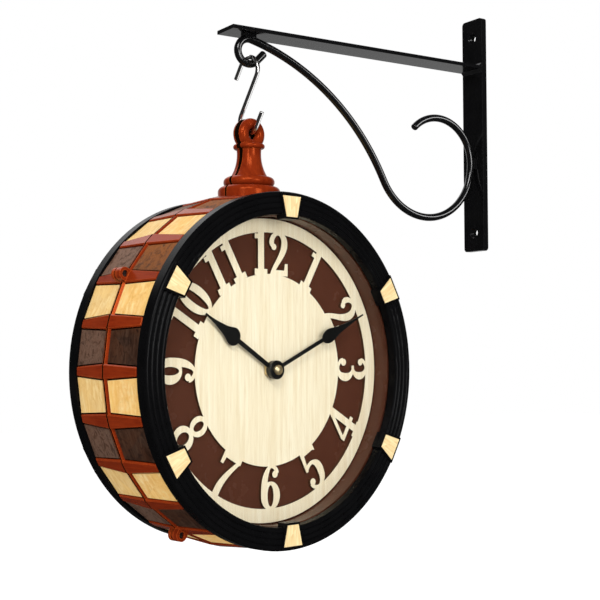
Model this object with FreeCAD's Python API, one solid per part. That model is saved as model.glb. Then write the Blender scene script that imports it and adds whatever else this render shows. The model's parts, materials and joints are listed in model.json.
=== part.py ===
# Double-sided station clock that hangs by an S-hook from a scroll wall bracket.
# Frame: X runs along the arm to the wall, Y from the front dial to the rear dial, Z up.
# The origin is midway between the two wall screws, on the face of the plate that lies on the wall.
# Lengths are millimetres and angles are degrees. A name that ends in share or shares holds no length.
import FreeCAD
import Part
import math
import os

# Wall plate and arm, cut from flat bar
bar_width = 25.0
bar_rounding = 0.8
plate_height = 200.0
plate_thickness = 5.0
plate_corner = 3.0
wall_hole_radius = 2.6
wall_hole_inset = 16.0
countersink_radius = 4.8
countersink_depth = 2.2
arm_reach = 250.0
arm_thickness = 3.0
arm_drop = 41.5
weld_leg = 2.4
weld_length = 9.0

# Scroll rod: hanging loop, long shoulder, belly, heel on the plate and curl
rod_radius = 3.0
rod_end_rounding = 1.4
hang_inset = 20.4
loop_radius = 9.6
loop_tail = 10.0
loop_tail_angle = 45.0
shoulder_entry_angle = 13.0
shoulder_exit_angle = 63.1
belly_radius = 50.7
heel_radius = 48.6
curl_radius = 36.1
curl_angle = 136.0

# S-hook, and how far the clock is turned about the vertical as it hangs
wire_radius = 1.75
wire_end_rounding = 0.5
hook_span = 58.8
hook_upper_leg = 12.0
hook_lower_leg = 12.0
hook_gap = 0.3
seat_rise = 2.9
hang_angle = 10.0

# Drum case: a half goes from the seam to the back of its bezel
side_count = 24
seam_radius = 130.4
drum_taper = 2.2
skin = 2.2
flange_thickness = 3.0
flange_clearance = 2.2
slat_rise = 1.6
slat_seam_width = 10.4
slat_rim_width = 6.4
slat_end_length = 1.8
slat_end_drop = 1.2
slat_edge = 0.7
seam_bevel = 0.8
seam_lip = 1.0
seam_slope = 1.5
panel_thickness = 0.9
panel_gap = 0.9

# Screw lugs on the seam
lug_angles = (60.0, 150.0, 210.0, 300.0)
lug_radius = 4.6
lug_lift = 2.6
front_lug_length = 4.2
rear_lug_length = 6.0
lug_groove = 1.0
case_screw_radius = 1.25
case_screw_head_radius = 2.4
case_screw_head_height = 1.6
head_recess = 1.8
screw_clearance = 0.05

# Finial, split with the case
foot_radius = 23.0
foot_height = 6.2
foot_sink = 5.5
foot_rounding = 3.8
step_radius = 18.6
step_height = 7.2
step_bulge = 2.6
neck_base_radius = 13.4
neck_waist_radius = 8.0
neck_height = 21.5
collar_radius = 10.6
collar_height = 4.0
eye_radius = 8.0
eye_section_radius = 4.2
eye_rise = 7.2
foot_opening = 2.0
eye_opening = 5.0

# Bezel and its keystone blocks
bezel_inset = 0.4
bezel_width = 16.8
bezel_depth = 9.9
bezel_shoulder = 2.0
ridge_count = 4
ridge_height = 0.9
lens_lap = 4.0
lens_thickness = 2.0
lens_clearance = 0.2
keystone_count = 6
keystone_rim = 1.8
keystone_overhang = 3.4
keystone_outer_width = 21.6
keystone_inner_width = 13.0
keystone_proud = 1.2
keystone_border = 1.5
inlay_depth = 1.0
inlay_proud = 0.3
inlay_clearance = 0.1

# Dial tray, numeral plate and the screws that clamp tray, case flange and bezel
glass_clearance = 1.7
numeral_thickness = 2.6
board_thickness = 2.5
tray_step = 0.2
tray_wall = 1.8
tray_flange_width = 8.2
tray_flange_thickness = 2.0
ring_gap = 1.0
ring_width = 10.2
numeral_band = 30.8
numeral_overlap = 1.2
digit_pitch_share = 0.525
bezel_screw_angles = (30.0, 90.0, 150.0, 210.0, 270.0, 330.0)
bezel_screw_inset = 2.8
bezel_screw_radius = 1.4
bezel_screw_head_radius = 2.7
bezel_screw_head_height = 1.6
bezel_screw_bite = 4.0

# Quartz movement
movement_back_gap = 1.2
movement_wall = 1.5
movement_cover_thickness = 1.5
partition = 1.0
washer_radius = 9.0
washer_thickness = 1.0
bush_radius = 4.0
bush_clearance = 0.1
nut_radius = 6.4
nut_height = 2.2
pipe_radius = 2.6
arbor_radius = 1.5
run_gap = 0.05
end_play = 0.4
train_distance = 11.0
train_gap = 0.4
train_angle = 60.0
centre_teeth = 12
minute_teeth = 36
pinion_teeth = 10
hour_teeth = 40
knob_teeth = 18
tooth_depth = 0.6
wheel_thickness = 1.2
pinion_thickness = 1.6
post_radius = 0.9
pivot_depth = 0.9
knob_radius = 5.0
knob_hole_clearance = 0.3
knob_proud = 1.0
knob_teeth_count = 24
centre_wheel_radius = 9.0
rotor_radius = 3.2
rotor_length = 2.4
rotor_gap = 0.6
rotor_across = -10.0
rotor_up = 12.0
stator_thickness = 1.2
stator_half_width = 14.0
stator_bar = 4.0
stator_web = 0.5
coil_radius = 4.4
coil_bore_radius = 2.3
coil_clearance = 0.3
core_width = 3.0
support_radius = 1.5
board_across = 16.0
board_up = 21.0
board_length = 17.0
board_width = 9.0
circuit_thickness = 1.0
battery_radius = 7.2
battery_length = 50.5
battery_nub_radius = 2.7
battery_nub_length = 1.0
battery_clearance = 0.2
contact_thickness = 0.5
contact_height = 9.0
spring_radius = 3.5
spring_length = 1.5

# Hands
hour_angle = 302.0
minute_angle = 65.5
hour_length = 75.5
minute_length = 102.5
hour_shaft_width = 3.4
minute_shaft_width = 2.9
hour_spade_width = 13.6
minute_spade_width = 10.6
hub_radius = 6.8
hub_height = 1.6
hand_thickness = 0.6
hand_gap = 0.4
cap_radius = 7.0
cap_height = 1.6
cap_rounding = 0.6
dome_radius = 3.6
dome_base = 1.4
dome_height = 3.2
press_gap = 0.02
spade_stations_shares = (0.525, 0.555, 0.605, 0.67, 0.79, 1.0)
spade_width_shares = (0.30, 0.80, 1.0, 0.74, 0.36, 0.12)

# Cuts run past the faces that they open by this much
overrun = 1.0

# Pen strokes of the digits: across, up and half width as shares of the numeral height
two_stroke_shares = (
    (-0.15, 0.655, 0.040), (-0.205, 0.745, 0.068), (-0.155, 0.885, 0.060), (-0.01, 0.958, 0.044),
    (0.135, 0.88, 0.075), (0.18, 0.73, 0.090), (0.10, 0.49, 0.078), (-0.07, 0.25, 0.060),
    (-0.20, 0.02, 0.058))
three_upper_shares = (
    (-0.205, 0.80, 0.040), (-0.135, 0.925, 0.044), (0.00, 0.965, 0.036), (0.14, 0.87, 0.072),
    (0.17, 0.74, 0.088), (0.10, 0.58, 0.055), (-0.07, 0.53, 0.036))
three_lower_shares = (
    (-0.07, 0.53, 0.036), (0.08, 0.50, 0.048), (0.18, 0.38, 0.085), (0.19, 0.24, 0.095),
    (0.11, 0.08, 0.066), (-0.02, 0.036, 0.038), (-0.145, 0.08, 0.044), (-0.215, 0.20, 0.040))
five_stem_shares = ((-0.15, 0.96, 0.055), (-0.165, 0.74, 0.048), (-0.185, 0.50, 0.036))
five_bowl_shares = (
    (-0.185, 0.52, 0.026), (-0.09, 0.61, 0.048), (0.04, 0.625, 0.046), (0.16, 0.52, 0.082),
    (0.19, 0.34, 0.094), (0.13, 0.12, 0.074), (0.00, 0.036, 0.038), (-0.145, 0.08, 0.044),
    (-0.215, 0.20, 0.040))
six_stem_shares = (
    (-0.185, 0.30, 0.094), (-0.175, 0.60, 0.088), (-0.10, 0.85, 0.062), (0.02, 0.962, 0.038),
    (0.135, 0.92, 0.046), (0.19, 0.81, 0.055))
seven_stem_shares = ((0.23, 0.92, 0.045), (0.07, 0.62, 0.058), (-0.04, 0.32, 0.080), (-0.06, 0.0, 0.088))
four_slope_shares = ((0.10, 0.98, 0.050), (-0.08, 0.66, 0.046), (-0.265, 0.33, 0.042))
# Round blobs: across, up and radius
ball_shares = {
    "2": ((-0.14, 0.65, 0.072),),
    "3": ((-0.15, 0.785, 0.076), (-0.155, 0.22, 0.082)),
    "5": ((-0.155, 0.22, 0.082),),
    "6": ((0.135, 0.785, 0.080),)}
# Straight-edged pieces: corner lists, across and up
slab_shares = {
    "1": (((-0.088, 0.0), (0.088, 0.0), (0.088, 1.0), (-0.088, 1.0)),
          ((-0.185, 0.0), (0.185, 0.0), (0.185, 0.14), (-0.185, 0.14)),
          ((-0.185, 0.81), (0.0, 0.81), (0.0, 0.92), (-0.185, 0.92))),
    "2": (((-0.27, 0.0), (0.275, 0.0), (0.275, 0.28), (0.195, 0.28), (0.17, 0.13), (-0.20, 0.13)),),
    "4": (((0.035, 0.0), (0.205, 0.0), (0.205, 1.0), (0.035, 1.0)),
          ((-0.305, 0.24), (0.30, 0.24), (0.30, 0.345), (-0.305, 0.345)),
          ((-0.08, 0.0), (0.30, 0.0), (0.30, 0.085), (-0.08, 0.085))),
    "5": (((-0.205, 0.87), (0.19, 0.87), (0.25, 0.83), (0.25, 1.0), (-0.205, 1.0)),),
    "7": (((-0.27, 0.70), (-0.19, 0.70), (-0.165, 0.86), (0.275, 0.86), (0.275, 1.0), (-0.27, 1.0)),)}
# Closed bowls: across, up, outer half width and half height, inner half width and half height
bowl_shares = {
    "0": ((0.0, 0.50, 0.28, 0.50, 0.098, 0.415),),
    "6": ((0.0, 0.315, 0.28, 0.315, 0.090, 0.235),),
    "8": ((0.0, 0.755, 0.215, 0.245, 0.090, 0.150), (0.0, 0.275, 0.275, 0.275, 0.125, 0.170))}
stroke_shares = {
    "2": (two_stroke_shares,),
    "3": (three_upper_shares, three_lower_shares),
    "4": (four_slope_shares,),
    "5": (five_stem_shares, five_bowl_shares),
    "6": (six_stem_shares,),
    "7": (seven_stem_shares,)}
inward_hours = (4, 5, 6, 7, 8)

# Sizes that follow from the driving dimensions
arm_top = plate_height / 2 - arm_drop
arm_under = arm_top - arm_thickness
loop_height = arm_under - rod_radius - loop_radius
hang_reach = arm_reach - hang_inset
sector = 360.0 / side_count
rim_radius = seam_radius - drum_taper
bezel_radius = seam_radius - bezel_inset
bezel_bore_radius = bezel_radius - bezel_width
lens_seat_radius = bezel_bore_radius + lens_lap
keystone_outer_radius = bezel_radius - keystone_rim
keystone_inner_radius = bezel_bore_radius - keystone_overhang
bezel_screw_circle = lens_seat_radius + bezel_screw_inset
tray_radius = bezel_bore_radius - tray_step
tray_outer_radius = tray_radius + tray_wall
tray_flange_radius = tray_outer_radius + tray_flange_width
flange_bore_radius = tray_outer_radius + flange_clearance
ring_outer_radius = tray_radius - ring_gap
ring_inner_radius = ring_outer_radius - ring_width
disc_radius = ring_inner_radius - numeral_band
flat_share = math.cos(math.radians(sector / 2))
slat_seam_top = seam_radius + slat_rise
slat_rim_top = rim_radius + slat_rise
foot_base = slat_seam_top
eye_height = foot_base + foot_height + step_height + neck_height + collar_height + eye_rise
movement_width = battery_length + spring_length + 2 * contact_thickness + 2 * movement_wall
movement_depth = 2 * battery_radius + battery_clearance + movement_wall
movement_back = movement_back_gap
movement_front = movement_back + movement_depth
board_back = movement_front + washer_thickness
board_front = board_back + board_thickness
dial_depth = board_front + numeral_thickness
cover_front = movement_back + movement_cover_thickness
wall_face = movement_front - movement_wall
bush_top = dial_depth + nut_height + hand_gap
hour_hub_base = bush_top + hand_gap
hour_hub_top = hour_hub_base + hub_height
minute_hub_base = hour_hub_top + hand_gap
minute_hub_top = minute_hub_base + hub_height
cap_top = minute_hub_top + cap_height
half_depth = cap_top + dome_height + glass_clearance
bezel_front = half_depth + bezel_depth
pitch_total = train_distance - train_gap
centre_pinion_radius = pitch_total * centre_teeth / (centre_teeth + minute_teeth)
minute_wheel_radius = pitch_total - centre_pinion_radius
minute_pinion_radius = pitch_total * pinion_teeth / (pinion_teeth + hour_teeth)
hour_wheel_radius = pitch_total - minute_pinion_radius
knob_pinion_radius = minute_wheel_radius * knob_teeth / minute_teeth
hour_wheel_top = wall_face - end_play
hour_wheel_base = hour_wheel_top - wheel_thickness
minute_wheel_top = hour_wheel_base - end_play - pinion_thickness / 2
minute_wheel_base = minute_wheel_top - wheel_thickness
train_x = train_distance * math.cos(math.radians(train_angle))
train_y = train_distance * math.sin(math.radians(train_angle))
knob_x = train_x + minute_wheel_radius + knob_pinion_radius + train_gap
knob_y = train_y
battery_y = battery_radius + battery_clearance + movement_wall - movement_width / 2
bay_top = battery_y + battery_radius + battery_clearance
hole_top = rotor_up + rotor_radius + rotor_gap
coil_up = hole_top + stator_web + coil_clearance + coil_radius
numeral_height = ring_inner_radius - disc_radius + 2 * numeral_overlap
numeral_base = disc_radius - numeral_overlap

# The hook's lower bend carries both halves of the eye on their rounded inner edges
eye_lean = math.degrees(math.asin((eye_opening - foot_opening) / 2 / (eye_height - foot_base)))
eye_arm = eye_height + eye_radius - foot_base
eye_crown = foot_base + eye_arm * math.cos(math.radians(eye_lean))
eye_crown_offset = foot_opening / 2 + eye_arm * math.sin(math.radians(eye_lean))
seat_reach = math.hypot(seat_rise, eye_crown_offset)
hook_bend_radius = seat_reach + eye_section_radius + hook_gap + wire_radius
pivot_height = eye_crown + seat_rise - hook_bend_radius
hook_top = loop_height - loop_radius + rod_radius + hook_gap + wire_radius
hook_bottom = hook_top - hook_span
clock_height = hook_bottom - pivot_height

X_AXIS = FreeCAD.Vector(1, 0, 0)
Y_AXIS = FreeCAD.Vector(0, 1, 0)
Z_AXIS = FreeCAD.Vector(0, 0, 1)
ORIGIN = FreeCAD.Vector(0, 0, 0)


def point(x, y, z=0.0):
    return FreeCAD.Vector(x, y, z)


def polar(radius, angle, z=0.0):
    """A point on a dial, with the angle clockwise from twelve."""
    turn = math.radians(angle)
    return point(radius * math.sin(turn), radius * math.cos(turn), z)


def block(x_low, x_high, y_low, y_high, z_low, z_high):
    return Part.makeBox(x_high - x_low, y_high - y_low, z_high - z_low, point(x_low, y_low, z_low))


def disc(radius, low, high, x=0.0, y=0.0):
    return Part.makeCylinder(radius, high - low, point(x, y, low), Z_AXIS)


def tube(outer, inner, low, high, x=0.0, y=0.0):
    return disc(outer, low, high, x, y).cut(disc(inner, low - overrun, high + overrun, x, y))


def outline(corners):
    return Part.makePolygon(list(corners) + [corners[0]])


def prism(corners, low, high):
    face = Part.Face(outline([point(corner.x, corner.y, low) for corner in corners]))
    return face.extrude(Z_AXIS * (high - low))


def revolved(edges, axis):
    return Part.Face(Part.Wire(edges)).revolve(ORIGIN, axis, 360)


def turned(shape, angle):
    """A copy turned clockwise on the dial."""
    copy = shape.copy()
    copy.rotate(ORIGIN, Z_AXIS, -angle)
    return copy


def fused(shapes):
    return shapes[0].multiFuse(shapes[1:]).removeSplitter()


def polygon_ring(radius, height):
    corners = [polar(radius, sector * number, height) for number in range(side_count)]
    return outline(corners)


def bent_path(start, heading, moves):
    """A wire in a plane: each move is a length, or a radius with a turn that is positive to the left."""
    edges = []
    place = start
    for move in moves:
        turn = math.radians(heading)
        ahead = point(math.cos(turn), math.sin(turn))
        if isinstance(move, float):
            finish = place + ahead * move
            edges.append(Part.LineSegment(place, finish).toShape())
        else:
            radius, sweep = move
            side = math.copysign(radius, sweep)
            centre = place + point(-ahead.y, ahead.x) * side
            half = math.radians(heading + sweep / 2)
            full = math.radians(heading + sweep)
            middle = centre - point(-math.sin(half), math.cos(half)) * side
            finish = centre - point(-math.sin(full), math.cos(full)) * side
            edges.append(Part.Arc(place, middle, finish).toShape())
            heading += sweep
        place = finish
    return Part.Wire(edges)


def round_bar(path, radius, end_rounding):
    """Round stock swept along a flat path, with its two cut ends eased."""
    first = path.Edges[0]
    start = first.valueAt(first.FirstParameter)
    ahead = first.tangentAt(first.FirstParameter)
    section = Part.Wire(Part.makeCircle(radius, start, ahead))
    bar = path.makePipeShell([section], True, False)
    flat_ends = [face for face in bar.Faces if isinstance(face.Surface, Part.Plane)]
    return bar.makeFillet(end_rounding, [face.Edges[0] for face in flat_ends])


def stand_up(shape):
    """From a flat drawing, X across and Y up, to the plane of the arm."""
    copy = shape.copy()
    copy.rotate(ORIGIN, X_AXIS, 90)
    return copy


# Bracket

def wall_plate():
    half_height = plate_height / 2
    plate = block(-plate_thickness, 0, -bar_width / 2, bar_width / 2, -half_height, half_height)
    corner_edges = [edge for edge in plate.Edges if edge.BoundBox.XLength > plate_thickness / 2]
    plate = plate.makeFillet(plate_corner, corner_edges)
    for side in (-1, 1):
        height = side * (half_height - wall_hole_inset)
        start = point(-plate_thickness, 0, height)
        plate = plate.cut(Part.makeCylinder(wall_hole_radius, plate_thickness, start, X_AXIS))
        sink = Part.makeCone(countersink_radius, wall_hole_radius, countersink_depth, start, X_AXIS)
        plate = plate.cut(sink)
    return plate


def arm_bar():
    arm = block(-arm_reach, -plate_thickness, -bar_width / 2, bar_width / 2, arm_under, arm_top)
    long_edges = [edge for edge in arm.Edges if edge.BoundBox.XLength > arm_reach / 2]
    return arm.makeFillet(bar_rounding, long_edges)


def scroll_path():
    """The rod's centre line, from the free end of the loop to the end of the curl."""
    entry = math.radians(shoulder_entry_angle)
    exit_turn = math.radians(shoulder_exit_angle)
    heel_x = -plate_thickness - rod_radius
    loop_run = loop_radius * math.sin(entry)
    belly_run = belly_radius * math.sin(exit_turn)
    shoulder_run = heel_x - heel_radius + hang_reach - loop_run - belly_run
    shoulder_radius = shoulder_run / (math.sin(exit_turn) - math.sin(entry))
    heading = 180.0 + loop_tail_angle
    tail = math.radians(heading)
    loop_start = point(-hang_reach, loop_height) + point(-math.sin(tail), math.cos(tail)) * loop_radius
    start = loop_start - point(math.cos(tail), math.sin(tail)) * loop_tail
    return bent_path(start, heading, [
        loop_tail,
        (loop_radius, -heading - shoulder_entry_angle),
        (shoulder_radius, shoulder_entry_angle - shoulder_exit_angle),
        (belly_radius, shoulder_exit_angle),
        (heel_radius, 90.0),
        (curl_radius, curl_angle)])


def heel_height():
    """Where the rod rests on the plate."""
    ends = [vertex.Point for vertex in scroll_path().Vertexes]
    return max(ends, key=lambda corner: corner.x).y


def scroll_rod():
    return stand_up(round_bar(scroll_path(), rod_radius, rod_end_rounding))


def weld_beads(rod):
    """Fillets at the arm's root, and beads beside the rod under the arm and on the plate."""
    face = -plate_thickness
    half_width = bar_width / 2 - bar_rounding
    beads = []
    for level, way in ((arm_under, -1), (arm_top, 1)):
        corners = [point(face, -half_width, level), point(face - weld_leg, -half_width, level),
                   point(face, -half_width, level + way * weld_leg)]
        beads.append(Part.Face(outline(corners)).extrude(Y_AXIS * (2 * half_width)))
    reach = rod_radius + weld_leg / 2
    under_arm = block(-hang_reach - weld_length / 2, -hang_reach + weld_length / 2, -reach, reach,
                      arm_under - weld_leg, arm_under)
    on_plate = block(face - weld_leg, face, -reach, reach,
                     heel_height() - weld_length / 2, heel_height() + weld_length / 2)
    for bead in (under_arm, on_plate):
        beads.extend(bead.cut(rod).Solids)
    return Part.makeCompound(beads)


# Hook

def s_hook():
    centre_distance = hook_span - 2 * hook_bend_radius
    lean = math.degrees(math.asin(2 * hook_bend_radius / centre_distance))
    shaft = math.sqrt(centre_distance ** 2 - (2 * hook_bend_radius) ** 2)
    down = point(math.sin(math.radians(lean)), -math.cos(math.radians(lean)))
    upper_centre = point(0, hook_top - hook_bend_radius)
    bend_start = upper_centre + point(-down.y, down.x) * hook_bend_radius
    start = bend_start + down * hook_upper_leg
    path = bent_path(start, 90.0 + lean, [
        hook_upper_leg,
        (hook_bend_radius, 180.0),
        shaft,
        (hook_bend_radius, -180.0),
        hook_lower_leg])
    hook = stand_up(round_bar(path, wire_radius, wire_end_rounding))
    hook.rotate(ORIGIN, Z_AXIS, 90 + hang_angle)
    hook.translate(point(-hang_reach, 0))
    return hook


# Case halves, drawn on a dial: X to the right, Y up, Z out of the dial

def slat():
    """One raised strip over a corner of the drum, lofted from the bevelled seam to its chamfered end."""
    stations = ((0, slat_seam_width / 2, slat_seam_top - seam_bevel),
                (seam_bevel, slat_seam_width / 2, slat_seam_top),
                (half_depth - slat_end_length, slat_rim_width / 2, slat_rim_top),
                (half_depth, slat_rim_width / 2, slat_rim_top - slat_end_drop))
    sections = []
    for depth, half_width, top in stations:
        base = rim_radius - skin / 2
        flat = half_width - slat_edge
        sections.append(outline([point(-half_width, base, depth), point(half_width, base, depth),
                                 point(half_width, top - slat_edge, depth), point(flat, top, depth),
                                 point(-flat, top, depth), point(-half_width, top - slat_edge, depth)]))
    return Part.makeLoft(sections, True, True)


def panel():
    """One flat panel between two slats, on the right of twelve."""
    slope = (seam_radius - rim_radius) * flat_share / half_depth
    half_angle = math.radians(sector / 2)
    corners = []
    for depth, radius, slat_width in ((seam_lip + seam_slope + panel_gap, seam_radius, slat_seam_width),
                                      (half_depth - panel_gap, rim_radius, slat_rim_width)):
        flat = seam_radius * flat_share - slope * depth
        half_width = flat * math.tan(half_angle) - slat_width / 2 - panel_gap
        corners.append((half_width, flat, depth))
    (near, near_flat, near_depth), (far, far_flat, far_depth) = corners
    face = Part.Face(outline([point(-near, near_flat, near_depth), point(near, near_flat, near_depth),
                              point(far, far_flat, far_depth), point(-far, far_flat, far_depth)]))
    outward = point(0, 1, slope)
    return turned(face.extrude(outward.normalize() * panel_thickness), sector / 2)


def foot_column(extra):
    """The space that the finial's foot takes on top of the drum."""
    return Part.makeCylinder(foot_radius + extra, foot_height + foot_sink,
                             point(0, foot_base - foot_sink), Y_AXIS)


def panels(start):
    """Every second panel of one half, cut back round the finial's foot."""
    column = foot_column(panel_gap)
    pieces = []
    for number in range(start, side_count, 2):
        piece = turned(panel(), sector * number)
        if number in (0, side_count - 1):
            piece = piece.cut(column)
        pieces.append(piece)
    return pieces


def finial_half():
    """The front half of the finial, leaning out so that the two halves gape at the eye."""
    foot_low = foot_base - foot_sink
    foot_top = foot_base + foot_height
    step_top = foot_top + step_height
    neck_top = step_top + neck_height
    collar_mid = neck_top + collar_height / 2
    collar_top = neck_top + collar_height
    foot_bend = foot_rounding * (1 - math.sqrt(0.5))
    step_waist = step_radius - step_bulge
    waist = (neck_base_radius + 2 * neck_waist_radius) / 3
    profile = [
        Part.LineSegment(point(0, foot_low), point(foot_radius, foot_low)),
        Part.LineSegment(point(foot_radius, foot_low), point(foot_radius, foot_top - foot_rounding)),
        Part.Arc(point(foot_radius, foot_top - foot_rounding),
                 point(foot_radius - foot_bend, foot_top - foot_bend),
                 point(foot_radius - foot_rounding, foot_top)),
        Part.LineSegment(point(foot_radius - foot_rounding, foot_top), point(step_waist, foot_top)),
        Part.Arc(point(step_waist, foot_top), point(step_radius, (foot_top + step_top) / 2),
                 point(step_waist, step_top)),
        Part.LineSegment(point(step_waist, step_top), point(neck_base_radius, step_top)),
        Part.Arc(point(neck_base_radius, step_top), point(waist, step_top + neck_height / 3),
                 point(neck_waist_radius, neck_top)),
        Part.LineSegment(point(neck_waist_radius, neck_top),
                         point(collar_radius - collar_height / 2, neck_top)),
        Part.Arc(point(collar_radius - collar_height / 2, neck_top), point(collar_radius, collar_mid),
                 point(collar_radius - collar_height / 2, collar_top)),
        Part.LineSegment(point(collar_radius - collar_height / 2, collar_top), point(0, collar_top)),
        Part.LineSegment(point(0, collar_top), point(0, foot_low))]
    turned_part = revolved([edge.toShape() for edge in profile], Y_AXIS)
    eye = Part.makeTorus(eye_radius, eye_section_radius, point(0, eye_height), Z_AXIS)
    finial = turned_part.fuse(eye)
    front = block(-foot_radius - overrun, foot_radius + overrun, foot_low - overrun,
                  eye_height + 2 * eye_radius, 0, foot_radius + overrun)
    half = finial.common(front)
    half.rotate(point(0, foot_base), X_AXIS, eye_lean)
    half.translate(point(0, 0, foot_opening / 2))
    return half


def lug_places():
    radius = slat_seam_top + lug_lift
    return [polar(radius, angle) for angle in lug_angles]


def lug_posts(length):
    """Round screw lugs that stand on the seam slats."""
    root = slat_seam_top - skin
    posts = []
    for angle, place in zip(lug_angles, lug_places()):
        barrel = disc(lug_radius, 0, length, place.x, place.y)
        web = block(-lug_radius, lug_radius, root, slat_seam_top + lug_lift, 0, length)
        posts.append(barrel.fuse(turned(web, angle)))
    return posts


def half_case(lugs):
    """One half of the drum with its slats, sloped seam lip, mounting flange, lugs and half finial."""
    outer = Part.makeLoft([polygon_ring(seam_radius, 0), polygon_ring(rim_radius, half_depth)], True, True)
    flange_back = half_depth - flange_thickness
    inner_seam = seam_radius - skin / flat_share
    inner_rim = rim_radius - skin / flat_share
    inner_flange = inner_seam + (inner_rim - inner_seam) * flange_back / half_depth
    hollow = Part.makeLoft([polygon_ring(inner_seam, 0), polygon_ring(inner_flange, flange_back)], True, True)
    lip_rings = [polygon_ring(slat_seam_top - seam_bevel, 0), polygon_ring(slat_seam_top, seam_bevel),
                 polygon_ring(slat_seam_top, seam_lip),
                 polygon_ring(seam_radius - slat_rise, seam_lip + 2 * seam_slope)]
    lip = Part.makeLoft(lip_rings, True, True)
    solids = [outer, lip]
    solids.extend(turned(slat(), sector * number) for number in range(side_count))
    solids.extend(lugs)
    solids.append(finial_half())
    shell = fused(solids)
    shell = shell.cut(hollow).cut(disc(flange_bore_radius, flange_back - overrun, half_depth + overrun))
    holes = [disc(bezel_screw_radius + screw_clearance, flange_back - overrun, half_depth + overrun,
                  place.x, place.y) for place in bezel_screw_places()]
    return shell.cut(Part.makeCompound(holes))


def front_case():
    shell = half_case(lug_posts(front_lug_length))
    cuts = []
    recess = front_lug_length - case_screw_head_height - head_recess
    for place in lug_places():
        cuts.append(disc(case_screw_radius + screw_clearance, -overrun, front_lug_length, place.x, place.y))
        cuts.append(disc(case_screw_head_radius + screw_clearance, recess, front_lug_length + overrun,
                         place.x, place.y))
    return shell.cut(Part.makeCompound(cuts))


def rear_case():
    """The rear lugs are ribbed barrels with blind screw holes."""
    shell = half_case(lug_posts(rear_lug_length))
    cuts = []
    depth = rear_lug_length - skin / 2
    for place in lug_places():
        cuts.append(disc(case_screw_radius + screw_clearance, -overrun, depth, place.x, place.y))
        for step in (1, 2):
            low = rear_lug_length * step / 3 - lug_groove / 2
            groove = tube(lug_radius + overrun, lug_radius - lug_groove / 2, low, low + lug_groove,
                          place.x, place.y)
            above = disc(slat_seam_top, low - overrun, low + lug_groove + overrun)
            cuts.append(groove.cut(above))
    return shell.cut(Part.makeCompound(cuts))


def case_screws():
    """Pan-head screws that go in from the front lugs and bite in the rear lugs."""
    screws = []
    seat = front_lug_length - case_screw_head_height - head_recess
    bite = rear_lug_length - skin
    for place in lug_places():
        shank = disc(case_screw_radius, -bite, seat, place.x, place.y)
        head = disc(case_screw_head_radius, seat, seat + case_screw_head_height, place.x, place.y)
        slot = block(place.x - case_screw_head_radius, place.x + case_screw_head_radius,
                     place.y - lug_groove / 3, place.y + lug_groove / 3,
                     seat + case_screw_head_height / 2, seat + case_screw_head_height + overrun)
        screws.append(shank.fuse(head).cut(slot))
    return screws


# Bezel, lens, tray and numeral plate

def keystone_outline(inset):
    """A wedge at twelve, drawn in from its black border by the inset."""
    corners = [point(-keystone_inner_width / 2, keystone_inner_radius),
               point(keystone_inner_width / 2, keystone_inner_radius),
               point(keystone_outer_width / 2, keystone_outer_radius),
               point(-keystone_outer_width / 2, keystone_outer_radius)]
    face = Part.Face(outline(corners))
    if inset > 0:
        face = face.makeOffset2D(-inset)
    return face


def raised(face, low, high):
    copy = face.copy()
    copy.translate(Z_AXIS * low)
    return copy.extrude(Z_AXIS * (high - low))


def bezel_screw_places():
    return [polar(bezel_screw_circle, angle) for angle in bezel_screw_angles]


def bezel():
    """A ring with rounded ridges, a seat for the lens and six keystone blocks."""
    lens_front = half_depth + lens_thickness + lens_clearance
    valley = bezel_front - ridge_height
    ridge_width = (bezel_radius - bezel_bore_radius) / ridge_count
    rim = valley - bezel_shoulder / 2
    corners = [point(lens_seat_radius, half_depth), point(bezel_radius, half_depth),
               point(bezel_radius, rim), point(bezel_radius - bezel_shoulder / 4, valley)]
    edges = [Part.LineSegment(first, second) for first, second in zip(corners, corners[1:])]
    start = corners[-1]
    for number in range(ridge_count):
        outer = bezel_radius - ridge_width * number
        inner = outer - ridge_width
        finish = point(inner + (bezel_shoulder / 4 if number == ridge_count - 1 else 0), valley)
        edges.append(Part.Arc(start, point((start.x + finish.x) / 2, bezel_front), finish))
        start = finish
    closing = [start, point(bezel_bore_radius, rim), point(bezel_bore_radius, lens_front),
               point(lens_seat_radius, lens_front), corners[0]]
    edges.extend(Part.LineSegment(first, second) for first, second in zip(closing, closing[1:]))
    ring = revolved([edge.toShape() for edge in edges], Y_AXIS)
    ring.rotate(ORIGIN, X_AXIS, 90)
    top = bezel_front + keystone_proud
    stone = raised(keystone_outline(0), lens_front + lens_clearance, top)
    stone = stone.cut(disc(lens_seat_radius, half_depth, lens_front))
    pocket = raised(keystone_outline(keystone_border), top - inlay_depth, top + overrun)
    spacing = 360.0 / keystone_count
    stones = [turned(stone, spacing * number) for number in range(keystone_count)]
    pockets = [turned(pocket, spacing * number) for number in range(keystone_count)]
    hole_end = half_depth + bezel_screw_bite + overrun
    holes = [disc(bezel_screw_radius + screw_clearance, half_depth - overrun, hole_end, place.x, place.y)
             for place in bezel_screw_places()]
    return fused([ring] + stones).cut(Part.makeCompound(pockets + holes))


def keystone_inlays():
    top = bezel_front + keystone_proud
    inlay = raised(keystone_outline(keystone_border + inlay_clearance), top - inlay_depth, top + inlay_proud)
    return [turned(inlay, 360.0 / keystone_count * number) for number in range(keystone_count)]


def lens():
    return disc(lens_seat_radius - lens_clearance, half_depth, half_depth + lens_thickness)


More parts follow.
